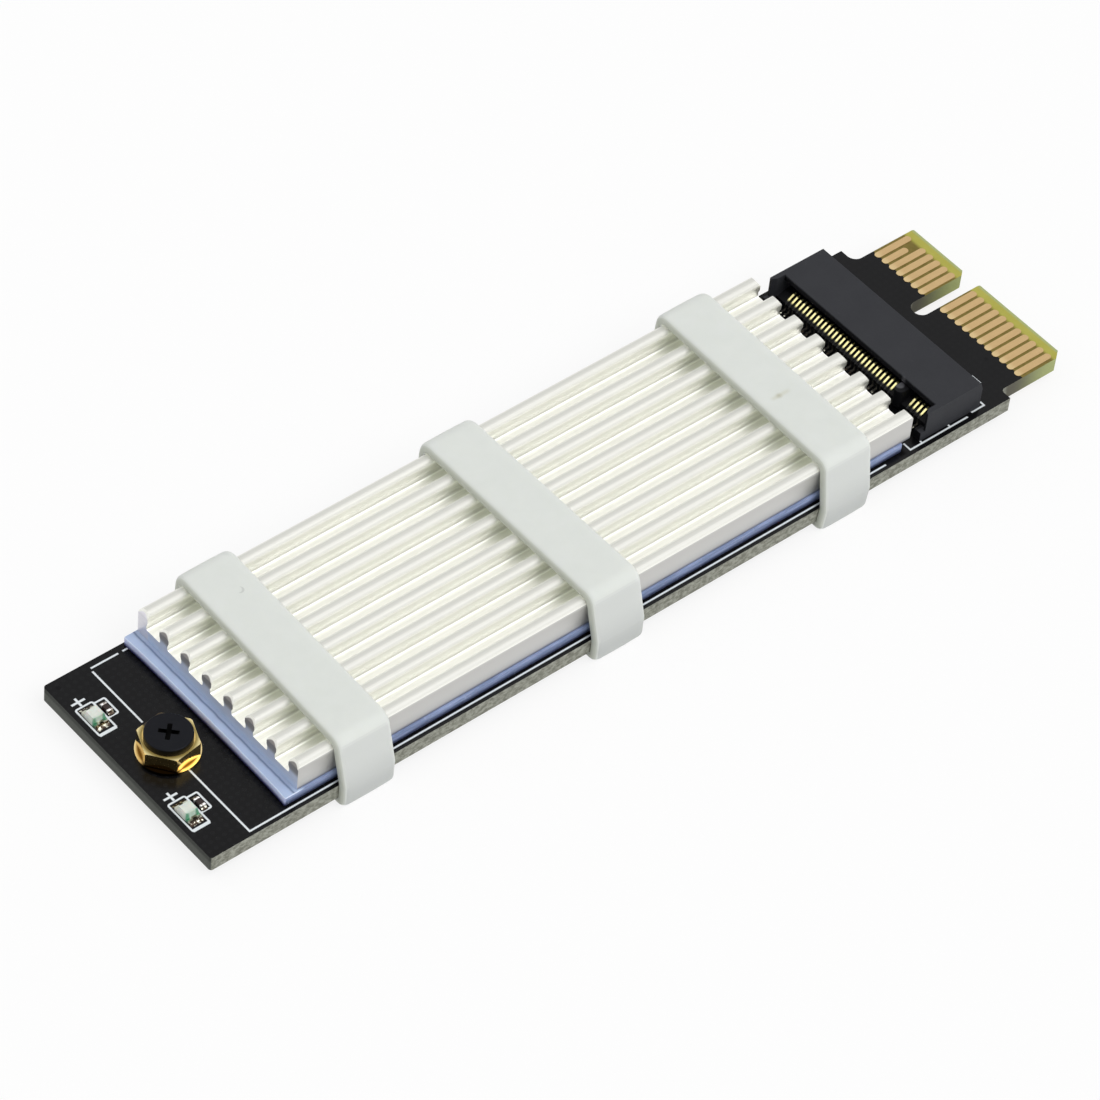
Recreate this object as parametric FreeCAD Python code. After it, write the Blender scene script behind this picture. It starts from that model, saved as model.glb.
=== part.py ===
import FreeCAD, Part
import math
import os

os.makedirs("parts", exist_ok=True)

V = FreeCAD.Vector

# Sizes are in millimetres. +X runs from the lamp end to the edge connector,
# +Y from the near long edge to the far one, +Z up through the board.
# The origin is under the middle of the card, level with the flat undersides of the bands.

# Length of the storage module that the card takes, and where the module lies
module_length = 80.0
standoff_x = 4.25
stop_to_tip = 15.25

# Edge contacts
finger_pitch = 1.0
finger_width = 0.7
finger_thick = 0.05
finger_round = 0.33
finger_length = 4.42
finger_inset = 1.1
short_finger_cut = 1.3
finger_margin = 0.65
near_finger_count = 11
far_finger_count = 7
slot_step = 3.0
slot_width = 1.9
slot_depth = 7.6
slot_round = 0.92

# Circuit board
near_step = 1.262
far_step = 1.788
near_neck_length = 7.95
far_neck_length = 7.65
near_neck_round = 0.45
far_neck_round = 0.95
board_thick = 1.6
board_corner = 0.3
tip_bevel_run = 0.3
tip_bevel_drop = 0.12
near_corner_run = 0.9
near_corner_cut = 0.7
slot_corner_run = 0.6
slot_corner_cut = 0.5
far_corner_cut = 0.06

# Heatsink and its pad
sink_lead = 5.52
sink_clear = 4.48
sink_offset = 0.375
sink_inset = 0.675
sink_total = 3.0
sink_floor = 1.15
fin_count = 8
fin_width = 1.3
fin_waist = 1.02
fin_top_round = 0.58
fin_foot_round = 0.2
fin_bend_round = 0.2
bulb_height = 1.0
waist_height = 1.35
fin_end_run = 0.28
fin_end_drop = 0.48
pad_lead = 1.47
pad_short = 0.97
pad_offset = 0.325
pad_overhang = 0.2
pad_thick = 1.0
pad_corner = 0.35

# Bands, placed by their share of the heatsink's length
band_wall = 0.95
band_width = 5.7
band_edge = 0.38
band_shares = {"band_left": 0.096, "band_middle": 0.489, "band_right": 0.874}

# Standoff and screw
standoff_offset = -0.215
standoff_flats = 4.85
standoff_height = 1.8
standoff_turn = 8.0
flange_height = 0.3
flange_overhang = 0.43
corner_chamfer = 0.08
barrel_radius = 1.75
barrel_length = 1.35
barrel_gap = 0.05
thread_radius = 1.0
thread_gap = 0.02
head_radius = 2.14
head_height = 0.65
head_edge = 0.1
shank_length = 2.6
recess_span = 1.85
recess_width = 0.43
recess_depth = 0.45
recess_turn = 45.0

# Lamps
lamp_x = 1.42
lamp_spacing = 12.9
lamp_offset = -0.225
lamp_width = 1.32
lamp_length = 2.0
lamp_base = 0.32
terminal_length = 0.38
terminal_notch = 0.2
lens_length = 1.3
lens_height = 0.5
lens_inset = 0.1

# Resistors
resistor_x = 2.85
resistor_shift = 0.28
resistor_width = 0.55
resistor_length = 1.05
resistor_height = 0.35
cap_length = 0.22
cap_step = 0.03
cap_edge = 0.06

# Solder at the ends of the lamps and resistors, which it meets at their own heights
lamp_solder_reach = 0.4
lamp_solder_rise = 0.3
resistor_solder_reach = 0.32
resistor_solder_rise = 0.2

# Module socket, measured along the card from the module's stop
socket_offset = -0.1
row_offset = -0.158
socket_end_margin = 1.475
socket_height = 3.2
foot_reach = 3.3
arm_reach = 2.75
jaw_reach = 2.1
key_reach = 2.5
roof_reach = 1.35
jaw_flat_reach = 1.15
mouth_relief = 0.25
peg_back = 1.75
roof_back = 3.85
socket_back = 4.65
rear_slope_drop = 2.2
rear_chamfer_run = 0.5
rear_chamfer_cut = 1.5
roof_thick = 0.62
jaw_lip = 0.95
jaw_top = 1.3
arm_width = 0.52
arm_lead = 0.3
foot_width = 0.85
foot_height = 1.0
key_width = 1.05
key_height = 2.4
peg_spread = 18.4
peg_radii = {"near": 0.8, "far": 0.55}
peg_gap = 0.05
peg_length = 1.2

# Socket contacts
contact_pitch = 0.5
contact_width = 0.2
contact_thick = 0.14
contact_gap = 0.05
lower_near_count = 4
upper_near_count = 5
far_count = 29
keyed_count = 4
lower_tail_reach = 2.5
lower_riser_reach = 1.95
lower_crest_reach = 0.95
lower_tip_reach = 0.2
lower_crest_height = 1.62
upper_tail_back = 5.35
upper_riser_back = 3.9
upper_crest_reach = 0.65
upper_tip_reach = 1.1
upper_beam_height = 2.62
upper_crest_height = 2.3

# Sizes and heights that follow from those above
near_row = finger_pitch * (near_finger_count - 1)
far_row = finger_pitch * (far_finger_count - 1)
tongue_width = near_row + slot_step + far_row + 2 * finger_margin
board_width = near_step + tongue_width + far_step
board_length = standoff_x + module_length + stop_to_tip
board_bottom = band_wall
board_top = board_bottom + board_thick
sink_bottom = board_top + pad_thick
sink_top = sink_bottom + sink_total
near_edge = -board_width / 2
far_edge = board_width / 2
tip_x = board_length / 2
lamp_end = -board_length / 2
stop_x = tip_x - stop_to_tip
axis_x = lamp_end + standoff_x
sink_start = axis_x + sink_lead
sink_end = stop_x - sink_clear
sink_width = board_width - 2 * sink_inset
sink_near = sink_offset - sink_width / 2
pad_width = sink_width + 2 * pad_overhang
socket_width = contact_pitch * (upper_near_count + keyed_count + far_count - 1) + 2 * socket_end_margin
socket_near = socket_offset - socket_width / 2
socket_far = socket_near + socket_width
lamp_rows = {"far": lamp_offset + lamp_spacing / 2, "near": lamp_offset - lamp_spacing / 2}


def on_level(height):
    """Placer for a flat outline drawn in X and Y."""
    return lambda u, v: V(u, v, height)


def on_section(y):
    """Placer for a side outline drawn in X and Z."""
    return lambda u, v: V(u, y, v)


def on_end(x):
    """Placer for an end outline drawn in Y and Z."""
    return lambda u, v: V(x, u, v)


def corner_points(before, corner, after, radius):
    """Start, middle and end of the arc that rounds one corner."""
    here = V(corner[0], corner[1], 0)
    if radius == 0:
        return here, here, here
    back = V(before[0], before[1], 0) - here
    ahead = V(after[0], after[1], 0) - here
    back.normalize()
    ahead.normalize()
    half = back.getAngle(ahead) / 2
    reach = radius / math.tan(half)
    inward = back + ahead
    inward.normalize()
    nearest = radius / math.sin(half) - radius
    return here + back * reach, here + inward * nearest, here + ahead * reach


def outline(corners, place):
    """Face whose corners are (u, v) or (u, v, radius), put in space by place."""
    count = len(corners)
    spans = []
    for i in range(count):
        radius = corners[i][2] if len(corners[i]) > 2 else 0
        spans.append(corner_points(corners[i - 1], corners[i], corners[(i + 1) % count], radius))
    edges = []
    for i in range(count):
        start, middle, end = [place(p.x, p.y) for p in spans[i]]
        following = spans[(i + 1) % count][0]
        following = place(following.x, following.y)
        if (end - start).Length > 1e-6:
            edges.append(Part.Arc(start, middle, end).toShape())
        if (following - end).Length > 1e-6:
            edges.append(Part.makeLine(end, following))
    return Part.Face(Part.Wire(edges))


def plate(corners, bottom, top):
    """Flat outline in X and Y raised from bottom to top."""
    return outline(corners, on_level(bottom)).extrude(V(0, 0, top - bottom))


def slab(corners, y_low, y_high):
    """Side outline in X and Z carried from y_low to y_high."""
    return outline(corners, on_section(y_low)).extrude(V(0, y_high - y_low, 0))


def block(x_low, x_high, y_low, y_high, z_low, z_high):
    """Square block between six limits."""
    size = (x_high - x_low, y_high - y_low, z_high - z_low)
    return Part.makeBox(size[0], size[1], size[2], V(x_low, y_low, z_low))


def group(solids):
    """Several separate solids kept in one shape."""
    return Part.makeCompound(solids)


def save(shape, node):
    shape.exportStep("parts/" + node + ".step")


def finger_middles():
    """Y of each edge contact, from the near side."""
    first = near_edge + near_step + finger_margin
    rows = [first + finger_pitch * i for i in range(near_finger_count)]
    restart = rows[-1] + slot_step
    return rows + [restart + finger_pitch * i for i in range(far_finger_count)]


def board_outline():
    """Corners of the board, with its shoulders and the slotted tongue."""
    low = near_edge + near_step
    high = far_edge - far_step
    rows = finger_middles()
    slot_middle = (rows[near_finger_count - 1] + rows[near_finger_count]) / 2
    slot_low = slot_middle - slot_width / 2
    slot_high = slot_middle + slot_width / 2
    near_neck = tip_x - near_neck_length
    far_neck = tip_x - far_neck_length
    return [
        (lamp_end, near_edge, board_corner),
        (near_neck, near_edge),
        (near_neck, low, near_neck_round),
        (tip_x - near_corner_run, low),
        (tip_x, low + near_corner_cut),
        (tip_x, slot_low - far_corner_cut),
        (tip_x - far_corner_cut, slot_low),
        (tip_x - slot_depth, slot_low, slot_round),
        (tip_x - slot_depth, slot_high, slot_round),
        (tip_x - slot_corner_run, slot_high),
        (tip_x, slot_high + slot_corner_cut),
        (tip_x, high - far_corner_cut),
        (tip_x - far_corner_cut, high),
        (far_neck, high, far_neck_round),
        (far_neck, far_edge),
        (lamp_end, far_edge, board_corner),
    ]


def tip_bevel(face_height, side):
    """Wedge that bevels the tip at its top (side 1) or bottom (side -1) face."""
    start = tip_x - tip_bevel_run
    foot = face_height - side * tip_bevel_drop
    outer = face_height + side * board_thick
    corners = [(start, face_height), (tip_x, foot), (tip_x + 1, foot), (tip_x + 1, outer), (start, outer)]
    return slab(corners, near_edge, far_edge)


def peg_place(side):
    """X and Y of one socket peg."""
    shift = -peg_spread / 2 if side == "near" else peg_spread / 2
    return stop_x + peg_back, socket_offset + shift


def circuit_board():
    """Board with its tongue, bevelled tip and the holes of the standoff and socket pegs."""
    board = plate(board_outline(), board_bottom, board_top)
    board = board.cut(tip_bevel(board_top, 1))
    board = board.cut(tip_bevel(board_bottom, -1))
    holes = [(axis_x, standoff_offset, barrel_radius + barrel_gap)]
    for side in peg_radii:
        holes.append(peg_place(side) + (peg_radii[side] + peg_gap,))
    for x, y, radius in holes:
        board = board.cut(Part.makeCylinder(radius, board_thick, V(x, y, board_bottom)))
    return board


def finger(y, end, bottom):
    """One edge contact with rounded ends."""
    start = tip_x - finger_inset - finger_length
    low = y - finger_width / 2
    high = y + finger_width / 2
    corners = [
        (start, low, finger_round),
        (end, low, finger_round),
        (end, high, finger_round),
        (start, high, finger_round),
    ]
    return plate(corners, bottom, bottom + finger_thick)


def edge_contacts(bottom, short_place):
    """A row of edge contacts, of which the one at short_place is shorter."""
    rows = finger_middles()
    ends = [tip_x - finger_inset for y in rows]
    ends[short_place] -= short_finger_cut
    return group([finger(y, end, bottom) for y, end in zip(rows, ends)])


def fin_side(edge, side, floor):
    """Corners down one inner fin side, from the top; side is 1 on the fin's far side."""
    inset = side * (fin_width - fin_waist) / 2
    return [
        (edge, sink_top, fin_top_round),
        (edge, sink_top - bulb_height, fin_bend_round),
        (edge - inset, sink_top - waist_height, fin_bend_round),
        (edge - inset, floor, fin_foot_round),
    ]


def fin_end_slope(end, inward):
    """Wedge that slopes the fins' top end edges; inward is 1 where the heatsink runs on towards +X."""
    foot = sink_top - fin_end_drop
    crest = end + inward * fin_end_run
    outer = end - inward
    corners = [(crest, sink_top), (end, foot), (outer, foot), (outer, sink_top + 1), (crest, sink_top + 1)]
    return slab(corners, sink_near - 1, sink_near + sink_width + 1)


def heatsink():
    """Extruded heatsink: a base plate and fins, each with a rounded head and a waist."""
    sink_far = sink_near + sink_width
    floor = sink_bottom + sink_floor
    pitch = (sink_width - fin_width) / (fin_count - 1)
    corners = [(sink_near, sink_bottom), (sink_near, sink_top, fin_top_round)]
    for i in range(fin_count - 1):
        this_far = sink_near + pitch * i + fin_width
        next_near = sink_near + pitch * (i + 1)
        corners += fin_side(this_far, 1, floor)
        corners += reversed(fin_side(next_near, -1, floor))
    corners += [(sink_far, sink_top, fin_top_round), (sink_far, sink_bottom)]
    shape = outline(corners, on_end(sink_start)).extrude(V(sink_end - sink_start, 0, 0))
    for end, inward in ((sink_start, 1), (sink_end, -1)):
        shape = shape.cut(fin_end_slope(end, inward))
    return shape


def thermal_pad():
    """Soft pad between the board and the heatsink, longer than the heatsink at the lamp end."""
    start = sink_start - pad_lead
    end = sink_end - pad_short
    low = pad_offset - pad_width / 2
    high = pad_offset + pad_width / 2
    corners = [
        (start, low, pad_corner),
        (end, low, pad_corner),
        (end, high, pad_corner),
        (start, high, pad_corner),
    ]
    return plate(corners, board_top, sink_bottom)


def outer_tangent(one, two, growth):
    """Ends of the line that touches two rollers on their right-hand side, going from one to two."""
    run = math.dist(one[:2], two[:2])
    heading = math.atan2(two[1] - one[1], two[0] - one[0])
    normal = heading - math.pi / 2 + math.asin((one[2] - two[2]) / run)
    ends = []
    for y, z, radius in (one, two):
        reach = radius + growth
        ends.append((y + reach * math.cos(normal), z + reach * math.sin(normal)))
    return ends


def wrap(rollers, growth):
    """Wire that runs round the outside of all the rollers (y, z, radius), each grown alike."""
    count = len(rollers)
    runs = [outer_tangent(rollers[i], rollers[(i + 1) % count], growth) for i in range(count)]
    edges = []
    for i in range(count):
        start, end = runs[i]
        edges.append(Part.makeLine(V(0, start[0], start[1]), V(0, end[0], end[1])))
        following = runs[(i + 1) % count][0]
        y, z, radius = rollers[(i + 1) % count]
        if radius + growth > 0:
            turn = V(0, end[0] + following[0] - 2 * y, end[1] + following[1] - 2 * z)
            turn.normalize()
            middle = V(0, y, z) + turn * (radius + growth)
            arc = Part.Arc(V(0, end[0], end[1]), middle, V(0, following[0], following[1]))
            edges.append(arc.toShape())
    return Part.Wire(edges)


def stretched_loop(growth):
    """Closed wire, in Y and Z, of a band stretched round the board and heatsink."""
    head_z = sink_top - fin_top_round
    rollers = [
        (near_edge, board_bottom, 0),
        (far_edge, board_bottom, 0),
        (far_edge, board_top, 0),
        (sink_near + sink_width - fin_top_round, head_z, fin_top_round),
        (sink_near + fin_top_round, head_z, fin_top_round),
        (near_edge, board_top, 0),
    ]
    return wrap(rollers, growth)


def band(share):
    """Elastic band, stretched round the board and heatsink, with softly rounded outer edges."""
    outer = Part.Face(stretched_loop(band_wall)).extrude(V(band_width, 0, 0))
    rim = [edge for edge in outer.Edges if edge.BoundBox.XLength < 1e-6]
    outer = outer.makeFillet(band_edge, rim)
    inner = Part.Face(stretched_loop(0)).extrude(V(band_width, 0, 0))
    shape = outer.cut(inner)
    middle = sink_start + share * (sink_end - sink_start)
    shape.translate(V(middle - band_width / 2, 0, 0))
    return shape


def turned(points):
    """Solid turned about the standoff's axis from (radius, height) points."""
    corners = [(axis_x + p[0],) + tuple(p[1:]) for p in points]
    face = outline(corners, on_section(standoff_offset))
    return face.revolve(V(axis_x, standoff_offset, 0), V(0, 0, 1), 360)


def hexagon():
    """Corners of the standoff's hexagon."""
    radius = hexagon_reach()
    angles = [math.radians(standoff_turn + 60 * i) for i in range(6)]
    return [(axis_x + radius * math.cos(a), standoff_offset + radius * math.sin(a)) for a in angles]


def hexagon_reach():
    """Distance from the standoff's axis to a corner of its hexagon."""
    return standoff_flats / 2 / math.cos(math.pi / 6)


def standoff():
    """Hexagonal standoff with a round flange, and a barrel down into the board."""
    reach = hexagon_reach()
    top = board_top + standoff_height
    foot = board_top - barrel_length
    envelope = [
        (0, board_top),
        (reach, board_top),
        (reach, top - corner_chamfer),
        (reach - corner_chamfer, top),
        (0, top),
    ]
    body = plate(hexagon(), board_top, top).common(turned(envelope))
    flange_radius = standoff_flats / 2 + flange_overhang
    flange = Part.makeCylinder(flange_radius, flange_height, V(axis_x, standoff_offset, board_top))
    body = body.fuse(flange)
    body = body.fuse(Part.makeCylinder(barrel_radius, barrel_length, V(axis_x, standoff_offset, foot)))
    bore = Part.makeCylinder(thread_radius + thread_gap, top - foot, V(axis_x, standoff_offset, foot))
    return body.cut(bore).removeSplitter()


def cross_recess(top):
    """Cutter for the screw's cross recess, narrowing towards its bottom."""
    half = recess_span / 2
    arm = recess_width / 2
    ring = []
    for i in range(4):
        angle = math.radians(recess_turn + 90 * i)
        for u, v in ((half, -arm), (half, arm), (arm, arm)):
            x = axis_x + u * math.cos(angle) - v * math.sin(angle)
            y = standoff_offset + u * math.sin(angle) + v * math.cos(angle)
            ring.append((x, y))
    bottom = V(axis_x, standoff_offset, top - recess_depth)
    cone = Part.makeCone(half * 0.45, half * 1.02, recess_depth, bottom)
    return plate(ring, top - recess_depth, top).common(cone)


def standoff_screw():
    """Flat-headed machine screw with a cross recess, seated on the standoff."""
    seat = board_top + standoff_height
    top = seat + head_height
    points = [
        (0, seat - shank_length),
        (thread_radius, seat - shank_length),
        (thread_radius, seat),
        (head_radius, seat),
        (head_radius, top - head_edge, head_edge / 2),
        (head_radius - head_edge, top),
        (0, top),
    ]
    return turned(points).cut(cross_recess(top))


def lamp_body(y):
    """Lamp carrier between its two metal ends."""
    half = lamp_length / 2 - terminal_length
    side = lamp_end + lamp_x - lamp_width / 2
    return block(side, side + lamp_width, y - half, y + half, board_top, board_top + lamp_base)


def lamp_terminals(y):
    """The two metal ends of a lamp, each with a half-round notch."""
    side = lamp_end + lamp_x - lamp_width / 2
    solids = []
    for end, low in ends_of(y, lamp_length, terminal_length):
        piece = block(side, side + lamp_width, low, low + terminal_length, board_top, board_top + lamp_base)
        notch = Part.makeCylinder(terminal_notch, lamp_base, V(lamp_end + lamp_x, end, board_top))
        solids.append(piece.cut(notch))
    return group(solids)


def ends_of(y, length, depth):
    """For both ends of a chip: Y of its end face, and the lower Y of the metal there."""
    near = y - length / 2
    far = y + length / 2
    return [(near, near), (far, far - depth)]


def lamp_lens(y):
    """Cast lens on top of the lamp, narrowing a little upwards."""
    bottom = board_top + lamp_base
    rings = []
    for inset, height in ((0, bottom), (lens_inset, bottom + lens_height)):
        left = lamp_end + lamp_x - lamp_width / 2 + inset
        right = lamp_end + lamp_x + lamp_width / 2 - inset
        low = y - lens_length / 2 + inset
        high = y + lens_length / 2 - inset
        corners = [(left, low), (right, low), (right, high), (left, high)]
        rings.append(outline(corners, on_level(height)).OuterWire)
    return Part.makeLoft(rings, True)


def resistor_body(y):
    """Dark body of a chip resistor, a little lower and narrower than its caps."""
    half = resistor_length / 2 - cap_length
    middle = lamp_end + resistor_x
    width = resistor_width / 2 - cap_step
    bottom = board_top + cap_step
    top = board_top + resistor_height - cap_step
    return block(middle - width, middle + width, y - half, y + half, bottom, top)


def resistor_caps(y):
    """The two metal caps of a chip resistor, with softened edges."""
    side = lamp_end + resistor_x - resistor_width / 2
    top = board_top + resistor_height
    solids = []
    for end, low in ends_of(y, resistor_length, cap_length):
        piece = block(side, side + resistor_width, low, low + cap_length, board_top, top)
        rim = [e for e in piece.Edges if e.BoundBox.ZMin > top - cap_edge]
        solids.append(piece.makeFillet(cap_edge, rim))
    return group(solids)


def solder_joint(x, width, end, reach, rise):
    """Solder that runs down from a metal end towards the sign of reach, hollow like a meniscus."""
    left = x - width / 2
    foot = V(left, end + reach, board_top)
    back = V(left, end, board_top)
    head = V(left, end, board_top + rise)
    dip = V(left, end + reach * 0.36, board_top + rise * 0.36)
    edges = [Part.makeLine(foot, back), Part.makeLine(back, head), Part.Arc(head, dip, foot).toShape()]
    return Part.Face(Part.Wire(edges)).extrude(V(width, 0, 0))


def solder_joints(x, shift, length, width, reach, rise):
    """Solder at both ends of each chip in a column of chips."""
    solids = []
    for row in lamp_rows.values():
        for side in (-1, 1):
            end = row + shift + side * length / 2
            solids.append(solder_joint(lamp_end + x, width, end, side * reach, rise))
    return group(solids)


def contact_row(near_count):
    """Y of each socket contact in one row, with the keyed places left out."""
    places = near_count + keyed_count + far_count
    first = row_offset - contact_pitch * (places - 1) / 2
    rows = [first + contact_pitch * i for i in range(places)]
    return rows[:near_count] + rows[near_count + keyed_count:]


def key_middle():
    """Y of the middle of the keyed places."""
    places = lower_near_count + keyed_count + far_count
    first = row_offset - contact_pitch * (places - 1) / 2
    return first + contact_pitch * (lower_near_count + (keyed_count - 1) / 2)


def strip(path, y):
    """Flat spring strip along a path of (x, z) points, with its thickness to the left of the path."""
    headings = []
    for i in range(len(path) - 1):
        step = V(path[i + 1][0] - path[i][0], 0, path[i + 1][1] - path[i][1])
        step.normalize()
        headings.append(step)
    offset = []
    for i, point in enumerate(path):
        into = headings[max(i - 1, 0)]
        out = headings[min(i, len(headings) - 1)]
        turn = V(-into.z - out.z, 0, into.x + out.x)
        stretch = 2 * contact_thick / (turn.x * turn.x + turn.z * turn.z)
        offset.append((point[0] + turn.x * stretch, point[1] + turn.z * stretch))
    corners = list(path) + list(reversed(offset))
    return slab(corners, y - contact_width / 2, y + contact_width / 2)


def lower_path():
    """Underside of a lower contact: tail, riser, spring beam, crest and tip."""
    riser = stop_x - lower_riser_reach
    crest = stop_x - lower_crest_reach
    under_crest = board_top + lower_crest_height - contact_thick
    return [
        (stop_x - lower_tail_reach, board_top),
        (riser, board_top),
        (riser, board_top + jaw_lip - contact_thick),
        (riser + contact_thick, board_top + jaw_lip),
        (crest - contact_thick, under_crest - contact_gap),
        (crest + contact_thick, under_crest),
        (stop_x - lower_tip_reach, board_top + jaw_top - contact_thick),
    ]


def upper_path():
    """Top side of an upper contact: tail behind the socket, riser, beam, crest and tip."""
    riser = stop_x + upper_riser_back
    beam = board_top + upper_beam_height
    return [
        (stop_x + upper_tail_back, board_top + contact_thick),
        (riser, board_top + contact_thick),
        (riser, beam),
        (stop_x + mouth_relief, beam),
        (stop_x - upper_crest_reach, board_top + upper_crest_height + contact_thick),
        (stop_x - upper_tip_reach, beam - contact_thick),
    ]


def socket_contacts(path, near_count):
    """One row of spring contacts."""
    return group([strip(path, y) for y in contact_row(near_count)])


def socket_side():
    """Side outline of the socket between its arms: jaw, mouth and roof."""
    roof = board_top + socket_height
    return [
        (stop_x - jaw_reach, board_top),
        (stop_x + socket_back, board_top),
        (stop_x + socket_back, roof),
        (stop_x - roof_reach, roof, 0.1),
        (stop_x - roof_reach, roof - roof_thick),
        (stop_x + mouth_relief, roof - roof_thick),
        (stop_x + mouth_relief, board_top + jaw_top),
        (stop_x - jaw_flat_reach, board_top + jaw_top),
        (stop_x - jaw_reach, board_top + jaw_lip),
    ]


def socket_arm(outer, side):
    """One end wall of the socket, with its arm and the low foot in front of it."""
    inner = outer - side * arm_width
    foot_inner = outer - side * foot_width
    back = stop_x + socket_back
    corners = [
        (stop_x - arm_reach, outer),
        (back, outer),
        (back, inner),
        (stop_x - arm_reach + 1.6 * arm_lead, inner),
        (stop_x - arm_reach, inner + side * arm_lead),
    ]
    wall = plate(corners, board_top, board_top + socket_height)
    foot = block(stop_x - foot_reach, stop_x - key_reach, min(outer, foot_inner),
                 max(outer, foot_inner), board_top, board_top + foot_height)
    return wall.fuse(foot)


def rear_trim(outer, side):
    """Cutter for the bevelled rear corner at one end of the socket."""
    back = stop_x + socket_back
    corners = [
        (back - rear_chamfer_run, outer),
        (back, outer - side * rear_chamfer_cut),
        (back + 1, outer - side * rear_chamfer_cut),
        (back + 1, outer + side),
        (back - rear_chamfer_run, outer + side),
    ]
    return plate(corners, board_top, board_top + socket_height)


def slope_trim():
    """Cutter for the sloped back of the socket over its whole width."""
    roof = board_top + socket_height
    back = stop_x + socket_back
    corners = [
        (back, roof - rear_slope_drop),
        (back + 1, roof - rear_slope_drop),
        (back + 1, roof + 1),
        (stop_x + roof_back, roof + 1),
        (stop_x + roof_back, roof),
    ]
    return slab(corners, near_edge, far_edge)


def contact_channels():
    """Cutters for the comb of grooves that the contacts lie in."""
    half = contact_width / 2 + contact_gap
    back = stop_x + socket_back
    beam = board_top + upper_beam_height
    front = stop_x - roof_reach + roof_thick / 2
    riser = stop_x + upper_riser_back - contact_thick - contact_gap
    cutters = []
    for y in contact_row(lower_near_count):
        cutters.append(block(stop_x - jaw_reach, stop_x, y - half, y + half,
                             board_top, board_top + jaw_top))
    for y in contact_row(upper_near_count):
        cutters.append(block(front, back, y - half, y + half,
                             beam - 2 * contact_thick, beam + contact_thick))
        cutters.append(block(riser, back, y - half, y + half, board_top, beam + contact_thick))
    return group(cutters)


def key_post():
    """Upright post in the mouth that keys the module."""
    middle = key_middle()
    low = middle - key_width / 2
    high = middle + key_width / 2
    front = stop_x - key_reach
    back = stop_x + 2 * mouth_relief
    nose = 0.47 * key_width
    corners = [(front, low, nose), (back, low), (back, high), (front, high, nose)]
    return plate(corners, board_top + jaw_lip / 2, board_top + key_height)


def socket_housing():
    """Moulded socket body in one piece, with its key post and the two pegs into the board."""
    body = slab(socket_side(), socket_near + arm_width / 2, socket_far - arm_width / 2)
    body = body.fuse(key_post())
    for outer, side in ((socket_near, -1), (socket_far, 1)):
        body = body.fuse(socket_arm(outer, side))
    body = body.cut(slope_trim())
    for outer, side in ((socket_near, -1), (socket_far, 1)):
        body = body.cut(rear_trim(outer, side))
    body = body.cut(contact_channels())
    for side in peg_radii:
        x, y = peg_place(side)
        foot = V(x, y, board_top - peg_length)
        body = body.fuse(Part.makeCylinder(peg_radii[side], peg_length + jaw_lip, foot))
    return body.removeSplitter()


def build():
    save(circuit_board(), "circuit_board")
    save(edge_contacts(board_top, -2), "edge_contacts_top")
    save(edge_contacts(board_bottom - finger_thick, 0), "edge_contacts_bottom")
    save(heatsink(), "heatsink")
    save(thermal_pad(), "thermal_pad")
    for node, share in band_shares.items():
        save(band(share), node)
    save(standoff(), "standoff")
    save(standoff_screw(), "standoff_screw")
    for name, y in lamp_rows.items():
        save(lamp_body(y), "lamp_" + name + "_body")
        save(lamp_terminals(y), "lamp_" + name + "_terminals")
        save(lamp_lens(y), "lamp_" + name + "_lens")
        save(resistor_body(y + resistor_shift), "resistor_" + name + "_body")
        save(resistor_caps(y + resistor_shift), "resistor_" + name + "_caps")
    beads = solder_joints(lamp_x, 0, lamp_length, lamp_width, lamp_solder_reach, lamp_solder_rise)
    save(beads, "lamp_solder")
    save(solder_joints(resistor_x, resistor_shift, resistor_length, resistor_width,
                       resistor_solder_reach, resistor_solder_rise), "resistor_solder")
    save(socket_housing(), "socket_housing")
    save(socket_contacts(lower_path(), lower_near_count), "socket_lower_contacts")
    save(socket_contacts(upper_path(), upper_near_count), "socket_upper_contacts")


build()
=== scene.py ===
import math
import random

import bpy
from mathutils import Matrix, Vector


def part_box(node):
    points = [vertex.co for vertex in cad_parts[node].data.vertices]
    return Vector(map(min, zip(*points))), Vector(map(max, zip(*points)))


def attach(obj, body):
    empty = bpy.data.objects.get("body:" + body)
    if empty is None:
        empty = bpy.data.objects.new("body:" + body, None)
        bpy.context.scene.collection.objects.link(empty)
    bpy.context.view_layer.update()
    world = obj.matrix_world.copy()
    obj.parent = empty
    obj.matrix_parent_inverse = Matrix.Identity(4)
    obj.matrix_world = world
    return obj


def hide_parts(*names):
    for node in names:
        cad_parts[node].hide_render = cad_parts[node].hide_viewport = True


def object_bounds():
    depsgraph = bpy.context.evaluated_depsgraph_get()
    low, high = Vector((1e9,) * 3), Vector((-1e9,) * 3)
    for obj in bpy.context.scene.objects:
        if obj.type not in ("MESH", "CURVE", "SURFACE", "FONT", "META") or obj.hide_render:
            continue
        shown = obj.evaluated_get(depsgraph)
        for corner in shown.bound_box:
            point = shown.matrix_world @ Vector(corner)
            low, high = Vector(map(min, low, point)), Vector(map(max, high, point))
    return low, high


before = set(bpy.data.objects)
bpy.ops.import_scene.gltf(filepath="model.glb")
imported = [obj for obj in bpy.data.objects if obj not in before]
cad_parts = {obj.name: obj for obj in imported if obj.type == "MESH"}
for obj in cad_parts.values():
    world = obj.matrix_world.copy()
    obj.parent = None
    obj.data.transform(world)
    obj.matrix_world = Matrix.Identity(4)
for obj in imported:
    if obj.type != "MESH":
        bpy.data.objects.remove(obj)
cad_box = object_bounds()

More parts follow.
